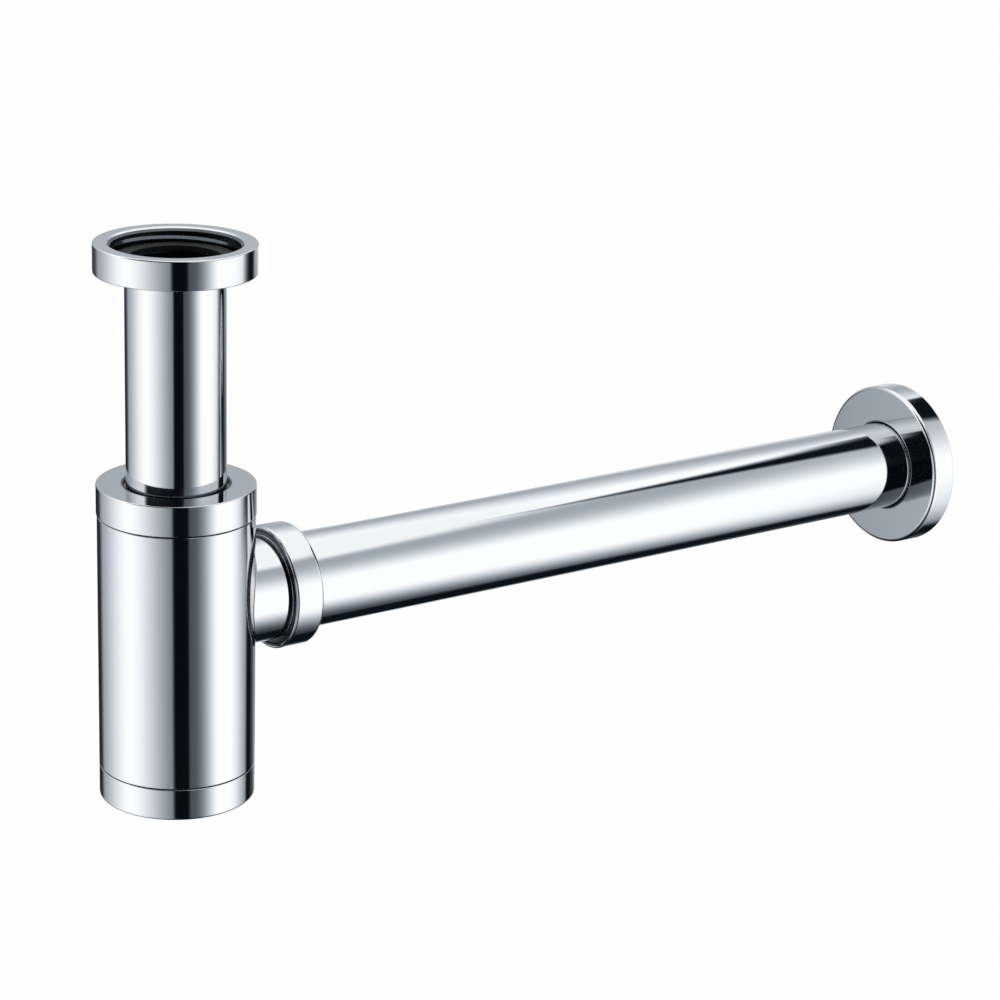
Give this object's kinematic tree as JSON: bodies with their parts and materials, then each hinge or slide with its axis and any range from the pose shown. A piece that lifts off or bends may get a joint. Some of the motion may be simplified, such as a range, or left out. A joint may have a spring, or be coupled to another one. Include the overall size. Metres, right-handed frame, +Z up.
{
  "type": "basin trap",
  "caption": "Chrome bottle trap for a wash basin: telescopic inlet tube with union nut, short cylindrical body with a clean-out cap, and a long straight outlet pipe with a sliding wall flange.",
  "frame": {"origin": "centre of the inlet washer's top face, inside the inlet nut, where the basin waste seats", "axes": "+Z up along the inlet tube's axis, +X horizontally along the outlet pipe's axis towards the wall"},
  "size_m": [0.3453, 0.0596, 0.1838],
  "materials": {
    "chrome": "polished chrome plate",
    "brass": "machined, unplated",
    "black_rubber": "matt moulded",
    "white_plastic": "fine matt"
  },
  "bodies": {
    "bottle": {"body_shell": "chrome", "top_collar": "brass", "bottom_collar": "brass", "outlet_stub": "chrome", "dip_tube": "white_plastic"},
    "seal": {"tube_seal": "black_rubber"},
    "riser": {"inlet_tube": "chrome", "inlet_washer": "black_rubber"},
    "inlet_slip": {"inlet_slip_ring": "white_plastic"},
    "inlet_union": {"inlet_nut": "chrome"},
    "cap_press": {"cap_slip_washer": "white_plastic"},
    "cap": {"cap_nut": "chrome"},
    "cleanout_ring": {"bottom_sealing_ring": "black_rubber"},
    "cleanout": {"bottom_cap": "chrome"},
    "outlet_press": {"outlet_slip_washer": "white_plastic"},
    "outlet_union": {"outlet_nut": "chrome"},
    "outlet_cone": {"outlet_seal": "black_rubber"},
    "pipe": {"outlet_pipe": "chrome"},
    "flange_grip": {"flange_grip_ring": "black_rubber"},
    "flange": {"wall_flange": "chrome"}
  },
  "joints": [
    {"name": "tube_turn", "type": "hinge", "parent": "bottle", "child": "seal", "pos_m": [0, 0, -0.08], "axis": [0, 0, 1], "continuous": true},
    {"name": "tube_slide", "type": "slide", "parent": "seal", "child": "riser", "axis": [0, 0, 1], "range_m": [-0.034, 0.025]},
    {"name": "inlet_nut_slide", "type": "slide", "parent": "riser", "child": "inlet_slip", "axis": [0, 0, 1], "range_m": [-0.025, 0]},
    {"name": "inlet_nut_turn", "type": "hinge", "parent": "inlet_slip", "child": "inlet_union", "pos_m": [0, 0, -0.003], "axis": [0, 0, 1], "continuous": true},
    {"name": "cap_rise", "type": "slide", "parent": "bottle", "child": "cap_press", "axis": [0, 0, 1], "range_m": [0, 0.006]},
    {"name": "cap_turn", "type": "hinge", "parent": "cap_press", "child": "cap", "pos_m": [0, 0, -0.078], "axis": [0, 0, 1], "range_deg": [0, 1440]},
    {"name": "bottom_drop", "type": "slide", "parent": "bottle", "child": "cleanout_ring", "axis": [0, 0, -1], "range_m": [0, 0.0045]},
    {"name": "bottom_turn", "type": "hinge", "parent": "cleanout_ring", "child": "cleanout", "pos_m": [0, 0, -0.17], "axis": [0, 0, -1], "range_deg": [0, 1080]},
    {"name": "outlet_nut_run", "type": "slide", "parent": "bottle", "child": "outlet_press", "axis": [1, 0, 0], "range_m": [0, 0.0045]},
    {"name": "outlet_nut_turn", "type": "hinge", "parent": "outlet_press", "child": "outlet_union", "pos_m": [0.038, 0, -0.115], "axis": [1, 0, 0], "range_deg": [0, 1080]},
    {"name": "pipe_turn", "type": "hinge", "parent": "bottle", "child": "outlet_cone", "pos_m": [0.04, 0, -0.115], "axis": [1, 0, 0], "continuous": true},
    {"name": "pipe_slide", "type": "slide", "parent": "outlet_cone", "child": "pipe", "axis": [1, 0, 0], "range_m": [-0.002, 0.006]},
    {"name": "flange_slide", "type": "slide", "parent": "pipe", "child": "flange_grip", "axis": [1, 0, 0], "range_m": [-0.2, 0.004]},
    {"name": "flange_turn", "type": "hinge", "parent": "flange_grip", "child": "flange", "pos_m": [0.306, 0, -0.115], "axis": [1, 0, 0], "continuous": true}
  ],
  "couplings": [
    {"joint": "cap_rise", "follows": "cap_turn", "m_per_rad": 0.00023873},
    {"joint": "bottom_drop", "follows": "bottom_turn", "m_per_rad": 0.00023873},
    {"joint": "outlet_nut_run", "follows": "outlet_nut_turn", "m_per_rad": 0.00023873}
  ]
}
